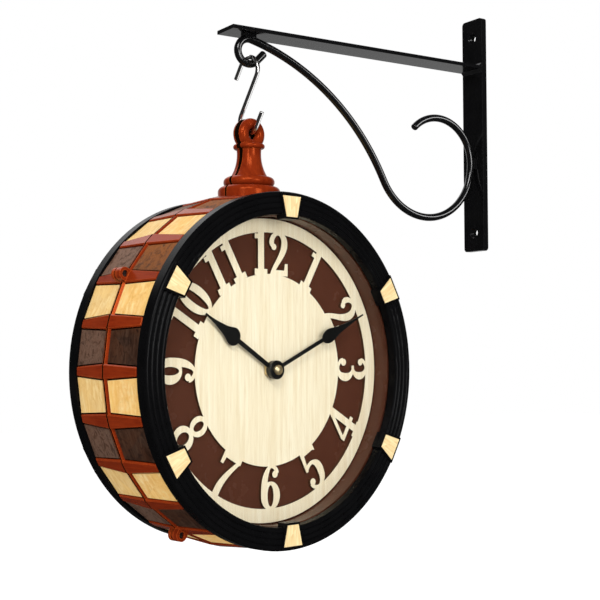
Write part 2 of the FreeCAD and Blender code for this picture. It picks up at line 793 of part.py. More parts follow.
def dial_tray():
    """A dish behind the glass, clamped under the case flange."""
    flange_top = half_depth - flange_thickness
    flange_low = flange_top - tray_flange_thickness
    tray = fused([disc(tray_outer_radius, board_back, board_front),
                  tube(tray_outer_radius, tray_radius, board_back, half_depth),
                  tube(tray_flange_radius, tray_radius, flange_low, flange_top)])
    holes = [disc(bezel_screw_radius + screw_clearance, flange_low - overrun, flange_top + overrun,
                  place.x, place.y) for place in bezel_screw_places()]
    holes.append(disc(bush_radius + bush_clearance, board_back - overrun, board_front + overrun))
    return tray.cut(Part.makeCompound(holes))


def bezel_screws():
    """Screws driven from inside through tray and flange into the bezel."""
    seat = half_depth - flange_thickness - tray_flange_thickness
    screws = []
    for place in bezel_screw_places():
        shank = disc(bezel_screw_radius, seat, half_depth + bezel_screw_bite, place.x, place.y)
        head = disc(bezel_screw_head_radius, seat - bezel_screw_head_height, seat, place.x, place.y)
        screws.append(shank.fuse(head))
    return screws


def spline(points):
    curve = Part.BSplineCurve()
    curve.interpolate(points)
    return curve


def stroke_face(knots):
    """A pen stroke whose width changes along it."""
    middle_points = [point(across, up) * numeral_height for across, up, half in knots]
    middle = spline(middle_points)
    left = []
    right = []
    for place, knot in zip(middle_points, knots):
        ahead = middle.tangent(middle.parameter(place))[0]
        side = point(-ahead.y, ahead.x) * (knot[2] * numeral_height)
        left.append(place + side)
        right.append(place - side)
    right.reverse()
    edges = [spline(left).toShape(), Part.LineSegment(left[-1], right[0]).toShape(),
             spline(right).toShape(), Part.LineSegment(right[-1], left[0]).toShape()]
    return Part.Face(Part.Wire(edges))


def ellipse_face(across, up, half_width, half_height):
    """An upright ellipse, given as shares of the numeral height."""
    centre = point(across, up) * numeral_height
    top = centre + Y_AXIS * (half_height * numeral_height)
    side = centre + X_AXIS * (half_width * numeral_height)
    if half_height > half_width:
        curve = Part.Ellipse(top, centre - X_AXIS * (half_width * numeral_height), centre)
    else:
        curve = Part.Ellipse(side, top, centre)
    return Part.Face(Part.Wire(curve.toShape()))


def ball_face(across, up, radius):
    circle = Part.makeCircle(radius * numeral_height, point(across, up) * numeral_height)
    return Part.Face(Part.Wire(circle))


def digit_face(digit):
    """One digit, standing on the X axis and centred on the Y axis."""
    if digit == "9":
        face = digit_face("6")
        face.rotate(point(0, numeral_height / 2), Z_AXIS, 180)
        return face
    faces = [stroke_face(knots) for knots in stroke_shares.get(digit, ())]
    faces.extend(ball_face(*ball) for ball in ball_shares.get(digit, ()))
    for corners in slab_shares.get(digit, ()):
        faces.append(Part.Face(outline([point(*corner) * numeral_height for corner in corners])))
    inner = []
    for across, up, wide, high, inner_wide, inner_high in bowl_shares.get(digit, ()):
        faces.append(ellipse_face(across, up, wide, high))
        inner.append(ellipse_face(across, up, inner_wide, inner_high))
    shape = fused(faces) if len(faces) > 1 else faces[0]
    for hole in inner:
        shape = shape.cut(hole)
    return shape


def numeral_plate():
    """Ring, numerals and centre disc, sawn from one board."""
    solids = [tube(ring_outer_radius, ring_inner_radius, board_front, dial_depth),
              disc(disc_radius, board_front, dial_depth)]
    digits = {digit: raised(digit_face(digit), board_front, dial_depth) for digit in "0123456789"}
    pitch = digit_pitch_share * numeral_height
    for hour in range(1, 13):
        text = str(hour)
        for number, digit in enumerate(text):
            solid = digits[digit].copy()
            solid.translate(point(pitch * (number - (len(text) - 1) / 2), 0))
            if hour in inward_hours:
                solid.rotate(point(0, numeral_height / 2), Z_AXIS, 180)
            solid.translate(Y_AXIS * numeral_base)
            solids.append(turned(solid, 360.0 / 12 * hour))
    plate = fused(solids)
    return plate.cut(disc(bush_radius + bush_clearance, board_front - overrun, dial_depth + overrun))


# Quartz movement

def toothed(radius, teeth, low, high, x=0.0, y=0.0):
    """A wheel with plain tapered teeth that stop short of the next wheel's teeth."""
    step = 360.0 / teeth
    corners = []
    for number in range(teeth):
        for part_share, level in ((0.0, -tooth_depth), (0.25, -tooth_depth), (0.4, 0.0), (0.85, 0.0)):
            corners.append(polar(radius + level, step * (number + part_share)) + point(x, y))
    return prism(corners, low, high)


def stator_box():
    """The step motor's frame: left, right, bottom and top of the plate."""
    left = rotor_across - stator_half_width
    right = rotor_across + stator_half_width
    low = rotor_up - rotor_radius - rotor_gap - stator_bar / 2
    return left, right, low, coil_up + core_width / 2


def stator_levels():
    middle = (wall_face + cover_front) / 2
    return middle - stator_thickness / 2, middle + stator_thickness / 2


def support_places():
    left, right, low, high = stator_box()
    inset = stator_bar / 2
    return [(left + inset, low + inset), (left + inset, coil_up), (right - inset, coil_up)]


def circuit_places():
    reach = board_length / 2 - support_radius
    return [(board_across - reach, board_up), (board_across + reach, board_up)]


def movement_case():
    """An open box with a battery bay, supports, and the threaded bush that goes through the dial."""
    half = movement_width / 2
    inner = half - movement_wall
    low, high = stator_levels()
    body = block(-half, half, -half, half, cover_front, movement_front)
    body = body.cut(block(-inner, inner, bay_top + partition, inner, cover_front - overrun, wall_face))
    body = body.cut(block(-inner, inner, -inner, bay_top, cover_front - overrun, wall_face))
    solids = [body, disc(bush_radius, wall_face, bush_top)]
    solids.extend(disc(support_radius, high, movement_front, x, y) for x, y in support_places())
    solids.extend(disc(support_radius, high, movement_front, x, y) for x, y in circuit_places())
    case = fused(solids)
    cuts = [disc(pipe_radius + run_gap, wall_face - overrun, bush_top + overrun)]
    for x, y in ((train_x, train_y), (knob_x, knob_y), (rotor_across, rotor_up)):
        cuts.append(disc(post_radius + run_gap, wall_face - overrun, wall_face + pivot_depth, x, y))
    return case.cut(Part.makeCompound(cuts))


def movement_cover():
    """The back of the wheel space, with pivot holes and the opening for the setting knob."""
    half = movement_width / 2
    cover = block(-half, half, bay_top, half, movement_back, cover_front)
    cuts = [disc(knob_radius + knob_hole_clearance, movement_back - overrun, cover_front + overrun,
                 knob_x, knob_y)]
    for x, y, radius in ((train_x, train_y, post_radius), (rotor_across, rotor_up, post_radius),
                         (0, 0, arbor_radius)):
        cuts.append(disc(radius + run_gap, cover_front - pivot_depth, cover_front + overrun, x, y))
    return cover.cut(Part.makeCompound(cuts))


def rubber_washer():
    return tube(washer_radius, bush_radius + bush_clearance, movement_front, board_back)


def mounting_nut():
    corners = [polar(nut_radius, 60.0 * number) for number in range(6)]
    nut = prism(corners, dial_depth, dial_depth + nut_height)
    return nut.cut(disc(bush_radius + press_gap, dial_depth - overrun, dial_depth + nut_height + overrun))


def hour_wheel():
    pipe = disc(pipe_radius, hour_wheel_base, hour_hub_top)
    wheel = toothed(hour_wheel_radius, hour_teeth, hour_wheel_base, hour_wheel_top)
    bore = disc(arbor_radius + run_gap, hour_wheel_base - overrun, hour_hub_top + overrun)
    return pipe.fuse(wheel).cut(bore)


def minute_arbor():
    """The centre arbor with its wheel and the pinion that drives the minute wheel."""
    low = cover_front - pivot_depth + run_gap
    tip = cap_top + dome_base + dome_height / 3
    pinion_low = minute_wheel_base - (pinion_thickness - wheel_thickness) / 2
    wheel_low = cover_front + 2 * end_play
    return fused([disc(arbor_radius, low, tip),
                  toothed(centre_pinion_radius, centre_teeth, pinion_low, pinion_low + pinion_thickness),
                  disc(centre_wheel_radius, wheel_low, wheel_low + wheel_thickness)])


def minute_wheel():
    low = cover_front - pivot_depth + run_gap
    high = wall_face + pivot_depth - run_gap
    pinion_low = hour_wheel_base - (pinion_thickness - wheel_thickness) / 2
    return fused([disc(post_radius, low, high, train_x, train_y),
                  toothed(minute_wheel_radius, minute_teeth, minute_wheel_base, minute_wheel_top,
                          train_x, train_y),
                  toothed(minute_pinion_radius, pinion_teeth, pinion_low, pinion_low + pinion_thickness,
                          train_x, train_y)])


def setting_knob():
    """A knurled knob in the back cover, geared to the minute wheel."""
    high = wall_face + pivot_depth - run_gap
    low = movement_back - knob_proud
    pinion_low = minute_wheel_base - (pinion_thickness - wheel_thickness) / 2
    return fused([disc(post_radius, low, high, knob_x, knob_y),
                  toothed(knob_radius, knob_teeth_count, low, cover_front - end_play, knob_x, knob_y),
                  toothed(knob_pinion_radius, knob_teeth, pinion_low, pinion_low + pinion_thickness,
                          knob_x, knob_y)])


def rotor():
    low, high = stator_levels()
    middle = (low + high) / 2
    return fused([disc(post_radius, cover_front - pivot_depth + run_gap, wall_face + pivot_depth - run_gap,
                       rotor_across, rotor_up),
                  disc(rotor_radius, middle - rotor_length / 2, middle + rotor_length / 2,
                       rotor_across, rotor_up)])


def stator():
    """A plate with the rotor's hole, whose top bar is the core of the coil."""
    left, right, low, top = stator_box()
    back, front = stator_levels()
    plate = block(left, right, low, top, back, front)
    window = block(left + stator_bar, right - stator_bar, hole_top + stator_web, coil_up - core_width / 2,
                   back - overrun, front + overrun)
    hole = disc(rotor_radius + rotor_gap, back - overrun, front + overrun, rotor_across, rotor_up)
    return plate.cut(Part.makeCompound([window, hole]))


def coil():
    """The winding on its bobbin, round the stator's core."""
    left, right, low, top = stator_box()
    back, front = stator_levels()
    length = right - left - 2 * stator_bar - 2 * end_play
    start = point(left + stator_bar + end_play, coil_up, (back + front) / 2)
    cheek = partition
    core_room = Part.makeCylinder(coil_bore_radius, length, start, X_AXIS)
    winding = Part.makeCylinder(coil_radius - cheek / 2, length, start, X_AXIS)
    cheeks = [Part.makeCylinder(coil_radius, cheek, start + X_AXIS * place, X_AXIS)
              for place in (0, length - cheek)]
    return fused([winding] + cheeks).cut(core_room)


def circuit_board():
    """A board on its two supports, with the driver chip and the crystal can."""
    low, high = stator_levels()
    board = block(board_across - board_length / 2, board_across + board_length / 2,
                  board_up - board_width / 2, board_up + board_width / 2, high - circuit_thickness, high)
    chip = disc(board_width / 4, high - 2 * circuit_thickness, high - circuit_thickness,
                board_across, board_up)
    can_start = point(board_across + board_length / 4, board_up - board_width / 4,
                      high - 3 * circuit_thickness / 2)
    can = Part.makeCylinder(circuit_thickness, board_width / 2, can_start, Y_AXIS)
    return fused([board, chip, can])


def battery():
    level = wall_face - battery_clearance - battery_radius
    inner = movement_width / 2 - movement_wall
    nub_end = point(inner - contact_thickness - battery_nub_length, battery_y, level)
    body_length = battery_length - battery_nub_length
    body = Part.makeCylinder(battery_radius, body_length, nub_end - X_AXIS * body_length, X_AXIS)
    return body.fuse(Part.makeCylinder(battery_nub_radius, battery_nub_length, nub_end, X_AXIS))


def battery_contacts():
    """A flat plate at the nub and a sprung plate at the other end."""
    level = wall_face - battery_clearance - battery_radius
    inner = movement_width / 2 - movement_wall
    half = contact_height / 2
    plates = [block(inner - contact_thickness, inner, battery_y - half, battery_y + half,
                    level - half, level + half),
              block(-inner, contact_thickness - inner, battery_y - half, battery_y + half,
                    level - half, level + half)]
    spring = Part.makeCone(spring_radius, spring_radius / 2, spring_length,
                           point(contact_thickness - inner, battery_y, level), X_AXIS)
    return [plates[0], plates[1].fuse(spring)]


# Hands

def hand(length, shaft_width, spade_width, bore, base, angle):
    """A spade hand with a round hub."""
    stations = [length * share for share in spade_stations_shares]
    halves = [spade_width / 2 * share for share in spade_width_shares]
    right = [point(half, station) for station, half in zip(stations, halves)]
    left = [point(-half, station) for station, half in zip(stations, halves)]
    left.reverse()
    edges = [spline(right).toShape(), Part.LineSegment(right[-1], left[0]).toShape(),
             spline(left).toShape(), Part.LineSegment(left[-1], right[0]).toShape()]
    blade_low = base + (hub_height - hand_thickness) / 2
    blade_high = blade_low + hand_thickness
    spade = raised(Part.Face(Part.Wire(edges)), blade_low, blade_high)
    spade_root = stations[1]
    shaft = block(-shaft_width / 2, shaft_width / 2, 0, spade_root, blade_low, blade_high)
    blank = fused([disc(hub_radius, base, base + hub_height), shaft, spade])
    return turned(blank.cut(disc(bore, base - overrun, base + hub_height + overrun)), angle)


def hour_hand():
    return hand(hour_length, hour_shaft_width, hour_spade_width, pipe_radius + press_gap,
                hour_hub_base, hour_angle)


def minute_hand():
    return hand(minute_length, minute_shaft_width, minute_spade_width, arbor_radius + press_gap,
                minute_hub_base, minute_angle)


def hub_cap():
    cap = disc(cap_radius, minute_hub_top, cap_top)
    top_edges = [edge for edge in cap.Edges if edge.BoundBox.ZMin > minute_hub_top + cap_height / 2]
    cap = cap.makeFillet(cap_rounding, top_edges)
    return cap.cut(disc(arbor_radius + press_gap, minute_hub_top - overrun, cap_top + overrun))


def dome_nut():
    """A brass nut with a domed top on the tip of the arbor."""
    ball_radius = (dome_radius ** 2 + (dome_height - dome_base) ** 2) / (2 * (dome_height - dome_base))
    ball = Part.makeSphere(ball_radius, point(0, 0, cap_top + dome_height - ball_radius))
    nut = disc(dome_radius, cap_top, cap_top + dome_height).common(ball)
    return nut.cut(disc(arbor_radius + press_gap, cap_top - overrun, cap_top + dome_base + dome_height / 3))


# Assembly

def in_place(shape, side):
    """From a dial drawing to the hanging clock; the rear dial faces the other way."""
    copy = shape.copy()
    copy.rotate(ORIGIN, X_AXIS, 90)
    copy.rotate(ORIGIN, Z_AXIS, hang_angle + (180 if side == "rear" else 0))
    copy.translate(point(-hang_reach, 0, clock_height))
    return copy


def pair(solids):
    """The same solids at the front and at the rear, as one group."""
    return [in_place(solid, side) for side in ("front", "rear") for solid in solids]


def clock_parts():
    parts = {
        "front_case": in_place(front_case(), "front"),
        "rear_case": in_place(rear_case(), "rear"),
        "light_panels": Part.makeCompound([in_place(piece, "front") for piece in panels(1)]
                                          + [in_place(piece, "rear") for piece in panels(0)]),
        "dark_panels": Part.makeCompound([in_place(piece, "front") for piece in panels(0)]
                                         + [in_place(piece, "rear") for piece in panels(1)]),
        "keystone_inlays": Part.makeCompound(pair(keystone_inlays())),
        "case_screws": Part.makeCompound([in_place(screw, "front") for screw in case_screws()]),
        "bezel_screws": Part.makeCompound(pair(bezel_screws())),
        "rubber_washers": Part.makeCompound(pair([rubber_washer()])),
        "mounting_nuts": Part.makeCompound(pair([mounting_nut()])),
        "battery_contacts": Part.makeCompound(pair(battery_contacts()))}
    twins = {
        "bezel": bezel(), "lens": lens(), "dial_tray": dial_tray(), "numeral_plate": numeral_plate(),
        "movement_case": movement_case(), "movement_cover": movement_cover(), "stator": stator(),
        "coil": coil(), "circuit_board": circuit_board(), "battery": battery(), "rotor": rotor(),
        "hour_wheel": hour_wheel(), "minute_arbor": minute_arbor(), "minute_wheel": minute_wheel(),
        "setting_knob": setting_knob(), "hour_hand": hour_hand(), "minute_hand": minute_hand(),
        "hub_cap": hub_cap(), "dome_nut": dome_nut()}
    for name, shape in twins.items():
        for side in ("front", "rear"):
            parts[side + "_" + name] = in_place(shape, side)
    return parts


def bracket_parts():
    rod = scroll_rod()
    return {"wall_plate": wall_plate(), "arm_bar": arm_bar(), "scroll_rod": rod,
            "weld_beads": weld_beads(rod), "s_hook": s_hook()}


os.makedirs("parts", exist_ok=True)
for name, shape in {**bracket_parts(), **clock_parts()}.items():
    shape.exportStep("parts/" + name + ".step")
    state = "valid" if shape.isValid() else "NOT VALID"
    print(name, len(shape.Solids), "solids", round(shape.Volume), "mm3", state)
print("hook axis height", round(loop_height - loop_radius, 3), "eye axis height", round(hook_bottom, 3),
      "clock centre height", round(clock_height, 3))
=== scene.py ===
import json
import math

import bpy
from mathutils import Matrix, Vector


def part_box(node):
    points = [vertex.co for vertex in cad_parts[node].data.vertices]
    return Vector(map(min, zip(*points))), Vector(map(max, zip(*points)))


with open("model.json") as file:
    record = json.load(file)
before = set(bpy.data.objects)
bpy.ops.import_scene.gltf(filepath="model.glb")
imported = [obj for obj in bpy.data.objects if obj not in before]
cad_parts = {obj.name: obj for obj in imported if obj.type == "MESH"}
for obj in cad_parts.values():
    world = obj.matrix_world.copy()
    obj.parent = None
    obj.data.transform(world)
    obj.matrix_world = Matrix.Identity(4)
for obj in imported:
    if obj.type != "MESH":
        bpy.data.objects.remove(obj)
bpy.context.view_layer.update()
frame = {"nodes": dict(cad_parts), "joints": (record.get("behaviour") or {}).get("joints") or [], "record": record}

# Looks of a double-sided wall clock that hangs by an S-hook from a scroll wall bracket.
# Lengths are metres in the frame of the part: X runs along the arm to the wall, Z is up, and the front
# dial faces minus Y, turned a little about the vertical as the clock hangs.

# Camera, fitted to the photograph
IMAGE_PIXELS = 600
FOCAL_PIXELS = 1230.9
CAMERA_PLACE = Vector((-0.7077, -0.7961, -0.1896))
CAMERA_AZIMUTH = math.radians(-33.35)
CAMERA_ELEVATION = math.radians(-2.64)
CAMERA_ROLL = math.radians(-0.23)
SENSOR = 36.0
CLIP_END = 50.0

# The clock's own frame: its centre, and its turn about the vertical
front_low, front_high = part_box("front_lens")
rear_low, rear_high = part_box("rear_lens")
CLOCK_CENTRE = (front_low + front_high + rear_low + rear_high) / 4
DIAL_AXIS = next(joint["axis"] for joint in frame["joints"] if joint["name"] == "front_minute_turn")
CLOCK_TURN = math.atan2(-DIAL_AXIS[0], DIAL_AXIS[1])

# The drum: its panels round the rim, and the recess floor that they lie on, which is a flat for each
# panel and falls towards the dials
# The recess floor is painted near black where it shows between the panels: painted shade.
DRUM_RADIUS = 0.13
SIDE_COUNT = 24
SECTOR = 2 * math.pi / SIDE_COUNT
RECESS_AT_SEAM = 0.12948
RECESS_SLOPE = 0.0598

# Faces where the two halves of the case meet, painted near black as painted shade in the gap: how squarely they
# face the seam, and how near it they lie
SEAM_FACING = 0.4
SEAM_REACH = 0.0035

# Floor: its grey, its own light, and how much of it is mirrored far behind the clock
FLOOR_HEIGHT = -0.62
FLOOR_SIZE = 12.0
FLOOR_GREY = 0.75
FLOOR_GREY_MIRRORED = 0.03
FLOOR_LIFT = 0.62
FLOOR_MIRROR = 0.36
MIRROR_START = 0.4
MIRROR_FULL = 2.4

# White surround: even fill, and the directions behind the clock in which it is mirrored
AMBIENT = 0.55
SURROUND_EDGE = (0.45, 1.0)
SURROUND_MIRROR = (0.02, 1.0)

# Lamps that are aimed at the clock, with their power in watts
LAMPS = {
    "key": {"place": (-1.5, -1.9, 1.3), "width": 0.9, "height": 0.9, "power": 36.0},
    "front": {"place": (-0.2, -2.3, 0.1), "width": 0.8, "height": 0.8, "power": 24.0},
    "top": {"place": (-0.5, 1.4, 1.35), "width": 1.6, "height": 1.2, "power": 10.0}}

# Bright cards, each offset from the middle of its first node and seen in its own nodes only
CARDS = {
    "hook_card": {"nodes": ("s_hook",), "offset": (0.36, -0.24, -0.21),
                  "width": 0.42, "height": 0.42, "power": 0.8},
    "rod_card": {"nodes": ("scroll_rod",), "offset": (1.36, -1.63, 0.44),
                 "width": 0.6, "height": 0.6, "power": 12.0},
    "case_window": {"nodes": ("front_case", "rear_case"), "offset": (-1.7, -1.06, 0.93),
                    "width": 0.5, "height": 1.2, "power": 26.0}}

# Most values of a noise lie in this range
NOISE_RANGE = (0.3, 0.7)

# Edges: how alike the rounded and the flat direction of a face are, from a sharp edge to a flat face
EDGE_LIKENESS = (0.80, 0.995)
BEVEL_SAMPLES = 4

# Angles from twelve, in radians, over which the panels turn from the tones beside nine to the painted light tones
# of the top
TOP_ANGLES = (1.4, 0.75)


def colour(red, green, blue):
    return (red, green, blue, 1.0)


WHITE = colour(1.0, 1.0, 1.0)
BLACK = colour(0.002, 0.002, 0.0022)
SOFT_BLACK = colour(0.004, 0.004, 0.0044)

# Plastics and paints: two tones, the range of roughness, a clear coat and the sheen
PLASTICS = {
    "bezel_black": {"tones": (BLACK, SOFT_BLACK), "roughness": (0.24, 0.32), "sheen": 0.05},
    "dial_brown": {"tones": (colour(0.070, 0.022, 0.012), colour(0.092, 0.031, 0.017)),
                   "roughness": (0.20, 0.30), "coat": 0.1, "sheen": 0.15},
    "hand_black": {"tones": (BLACK, SOFT_BLACK), "roughness": (0.32, 0.42)},
    "rubber": {"tones": (colour(0.012, 0.012, 0.012), colour(0.03, 0.03, 0.03)),
               "roughness": (0.6, 0.8)},
    "movement_plastic": {"tones": (colour(0.018, 0.018, 0.02), colour(0.03, 0.03, 0.032)),
                         "roughness": (0.45, 0.6)},
    "gear_plastic": {"tones": (colour(0.74, 0.73, 0.69), colour(0.84, 0.83, 0.80)),
                     "roughness": (0.35, 0.5)},
    "circuit_green": {"tones": (colour(0.02, 0.10, 0.04), colour(0.04, 0.16, 0.07)),
                      "roughness": (0.3, 0.4), "coat": 0.2},
    "battery_sleeve": {"tones": (colour(0.05, 0.06, 0.09), colour(0.08, 0.09, 0.12)),
                       "roughness": (0.25, 0.35), "coat": 0.3}}

# Metals: two tones and the range of roughness
METALS = {
    "brass": {"tones": (colour(0.80, 0.62, 0.34), colour(0.92, 0.79, 0.52)),
              "roughness": (0.42, 0.52)},
    "screw_steel": {"tones": (colour(0.035, 0.03, 0.028), colour(0.08, 0.072, 0.066)),
                    "roughness": (0.35, 0.5)},
    "coil_copper": {"tones": (colour(0.50, 0.19, 0.08), colour(0.70, 0.32, 0.16)),
                    "roughness": (0.3, 0.45)},
    "stator_steel": {"tones": (colour(0.4, 0.4, 0.41), colour(0.6, 0.6, 0.61)),
                     "roughness": (0.3, 0.45)},
    "contact_nickel": {"tones": (colour(0.55, 0.52, 0.46), colour(0.74, 0.71, 0.64)),
                       "roughness": (0.2, 0.3)},
    "magnet": {"tones": (colour(0.10, 0.10, 0.105), colour(0.16, 0.16, 0.165)),
               "roughness": (0.4, 0.5)}}

# Veneers of the panels. The painted light tones are painted light and sheen that front and rear panels tend to,
# and the three shares say how
# far: beside nine o'clock in front, beside nine at the rear, and at the top.
VENEERS = {
    "light_wood": {"pale": colour(0.98, 0.76, 0.38), "deep": colour(0.72, 0.38, 0.085),
                   "vein": colour(0.96, 0.61, 0.19), "blotch_share": 0.6, "roughness": (0.42, 0.57),
                   "painted_light_tones": (colour(0.97, 0.54, 0.15), colour(0.97, 0.72, 0.34)),
                   "front_share": 0.55, "rear_share": 0.3, "top_share": 0.4},
    "dark_wood": {"pale": colour(0.080, 0.042, 0.026), "deep": colour(0.016, 0.006, 0.0035),
                  "vein": colour(0.070, 0.025, 0.011), "blotch_share": 0.85, "roughness": (0.5, 0.65),
                  "painted_light_tones": (colour(0.44, 0.140, 0.030), colour(0.33, 0.190, 0.130)),
                  "front_share": 0.0, "rear_share": 0.55, "top_share": 1.0}}


# Node helpers

def new_material(name, sockets):
    """A Principled material; sockets holds the values that are the same all over the surface."""
    material = bpy.data.materials.new(name)
    material.use_nodes = True
    shader = material.node_tree.nodes["Principled BSDF"]
    for socket, value in sockets.items():
        shader.inputs[socket].default_value = value
    return material, material.node_tree, shader


def bare_material(name):
    """A material without a shader yet."""
    material = bpy.data.materials.new(name)
    material.use_nodes = True
    tree = material.node_tree
    tree.nodes.remove(tree.nodes["Principled BSDF"])
    return material, tree, tree.nodes["Material Output"].inputs["Surface"]


def connect(tree, value, socket):
    """Sets a socket to a value, or links it to another node's output."""
    if isinstance(value, bpy.types.NodeSocket):
        tree.links.new(value, socket)
    else:
        socket.default_value = value


def add(tree, kind, settings=None, inputs=None):
    """A node with its settings, and inputs that are values or other nodes' outputs."""
    node = tree.nodes.new(kind)
    for name, value in (settings or {}).items():
        setattr(node, name, value)
    for name, value in (inputs or {}).items():
        connect(tree, value, node.inputs[name])
    return node


def math_node(tree, operation, first, second=0.0):
    return add(tree, "ShaderNodeMath", {"operation": operation}, {0: first, 1: second}).outputs[0]


def times(tree, first, second):
    return math_node(tree, "MULTIPLY", first, second)


def vector_math(tree, operation, first, second=(0.0, 0.0, 0.0)):
    return add(tree, "ShaderNodeVectorMath", {"operation": operation}, {0: first, 1: second}).outputs


def along_axis(tree, vector, axis):
    """How far a vector reaches along an axis."""
    return vector_math(tree, "DOT_PRODUCT", vector, axis)["Value"]


def spread(tree, value, source, target):
    """A value mapped from one range to another and clamped."""
    node = add(tree, "ShaderNodeMapRange", {"clamp": True}, {
        "Value": value, "From Min": source[0], "From Max": source[1],
        "To Min": target[0], "To Max": target[1]})
    return node.outputs["Result"]


def mask(tree, value, source, share=1.0):
    """Grows from zero to a share over a range of the value."""
    return spread(tree, value, source, (0.0, share))


def mix_colour(tree, factor, first, second):
    node = add(tree, "ShaderNodeMix", {"data_type": "RGBA", "clamp_factor": True},
               {0: factor, 6: first, 7: second})
    return node.outputs[2]


def mix_number(tree, factor, first, second):
    node = add(tree, "ShaderNodeMix", {"data_type": "FLOAT", "clamp_factor": True},
               {0: factor, 2: first, 3: second})
    return node.outputs[0]


def noise(tree, vector, scale=1.0, detail=4.0, roughness=0.55, distortion=0.0):
    node = add(tree, "ShaderNodeTexNoise", None, {
        "Vector": vector, "Scale": scale, "Detail": detail, "Roughness": roughness,
        "Distortion": distortion})
    return node.outputs["Fac"]


def combine(tree, x, y, z):
    return add(tree, "ShaderNodeCombineXYZ", None, {"X": x, "Y": y, "Z": z}).outputs[0]


def stretched(tree, numbers, scales):
    """A place for a noise, made of three numbers that each have their own scale."""
    return combine(tree, *(times(tree, number, scale) for number, scale in zip(numbers, scales)))


def object_place(tree):
    return add(tree, "ShaderNodeTexCoord").outputs["Object"]


def scaled_place(tree, scale):
    return add(tree, "ShaderNodeMapping", None, {
        "Vector": object_place(tree), "Scale": scale}).outputs[0]


def geometry(tree, name):
    return add(tree, "ShaderNodeNewGeometry").outputs[name]


def clock_place(tree):
    """Places in the clock's own frame: X to the right of the front dial, Y to the rear, Z up."""
    shifted = vector_math(tree, "SUBTRACT", object_place(tree), CLOCK_CENTRE)[0]
    turned = add(tree, "ShaderNodeVectorRotate", {"rotation_type": "Z_AXIS"}, {
        "Vector": shifted, "Angle": -CLOCK_TURN}).outputs[0]
    return tuple(add(tree, "ShaderNodeSeparateXYZ", None, {"Vector": turned}).outputs)


def drum_place(tree):
    """Round the drum: angle from twelve, distance from the axis, depth to the rear."""
    x, y, z = clock_place(tree)
    angle = math_node(tree, "ARCTAN2", x, z)
    radius = vector_math(tree, "LENGTH", combine(tree, x, 0.0, z))["Value"]
    return angle, radius, y


def edge_mask(tree, radius, share=1.0):
    """The share on sharp edges within the radius, falling to zero on flat faces; the materials use it to paint
    highlights on edges.
    """
    rounded = add(tree, "ShaderNodeBevel", {"samples": BEVEL_SAMPLES}, {"Radius": radius}).outputs[0]
    likeness = along_axis(tree, rounded, geometry(tree, "Normal"))
    return spread(tree, likeness, EDGE_LIKENESS, (share, 0.0))


def finish_surface(tree, shader, tint, roughness):
    """Links colour and roughness, which vary over the surface."""
    tree.links.new(tint, shader.inputs["Base Color"])
    tree.links.new(roughness, shader.inputs["Roughness"])


def bump(tree, shader, height, strength, distance):
    node = add(tree, "ShaderNodeBump", None, {
        "Height": height, "Strength": strength, "Distance": distance})
    tree.links.new(node.outputs[0], shader.inputs["Normal"])


# Materials

def black_coat():
    """Black powder coat on the bracket: satin gloss with a fine orange peel, and paler edges that are a painted
    highlight.
    """
    material, tree, shader = new_material("black_coat", {"Specular IOR Level": 0.5})
    place = object_place(tree)
    cloud = noise(tree, place, scale=60.0)
    peel = noise(tree, place, scale=1400.0, detail=2.0)
    tint = mix_colour(tree, cloud, BLACK, colour(0.005, 0.005, 0.0054))
    # Painted highlight: edges are painted a paler grey.
    tint = mix_colour(tree, edge_mask(tree, radius=0.0006), tint, colour(0.018, 0.018, 0.019))
    finish_surface(tree, shader, tint, spread(tree, cloud, NOISE_RANGE, (0.11, 0.16)))
    bump(tree, shader, peel, strength=0.005, distance=0.0001)
    return material


def hook_chrome():
    """Polished chrome wire with faint draw lines."""
    material, tree, shader = new_material("hook_chrome", {"Metallic": 1.0})
    lines = noise(tree, scaled_place(tree, scale=(900.0, 900.0, 90.0)), detail=3.0)
    tint = mix_colour(tree, lines, colour(0.66, 0.65, 0.64), colour(0.92, 0.91, 0.90))
    finish_surface(tree, shader, tint, spread(tree, lines, NOISE_RANGE, (0.16, 0.24)))
    bump(tree, shader, lines, strength=0.02, distance=0.0001)
    return material


def case_recess(tree):
    """Two masks for painted shade: the floor that the panels lie on, and the faces where the two halves meet."""
    angle, radius, depth = drum_place(tree)
    depth_size = math_node(tree, "ABSOLUTE", depth)
    within = math_node(tree, "PINGPONG", angle, SECTOR / 2)
    from_middle = math_node(tree, "SUBTRACT", SECTOR / 2, within)
    flat = times(tree, radius, math_node(tree, "COSINE", from_middle))
    level = math_node(tree, "ADD", flat, times(tree, depth_size, RECESS_SLOPE))
    recess_shade_mask = math_node(tree, "LESS_THAN", level, RECESS_AT_SEAM)
    facing = along_axis(tree, geometry(tree, "True Normal"), DIAL_AXIS)
    away_from_seam = times(tree, facing, math_node(tree, "SIGN", depth))
    inner = math_node(tree, "LESS_THAN", away_from_seam, -SEAM_FACING)
    near = math_node(tree, "LESS_THAN", depth_size, SEAM_REACH)
    return recess_shade_mask, times(tree, inner, near)


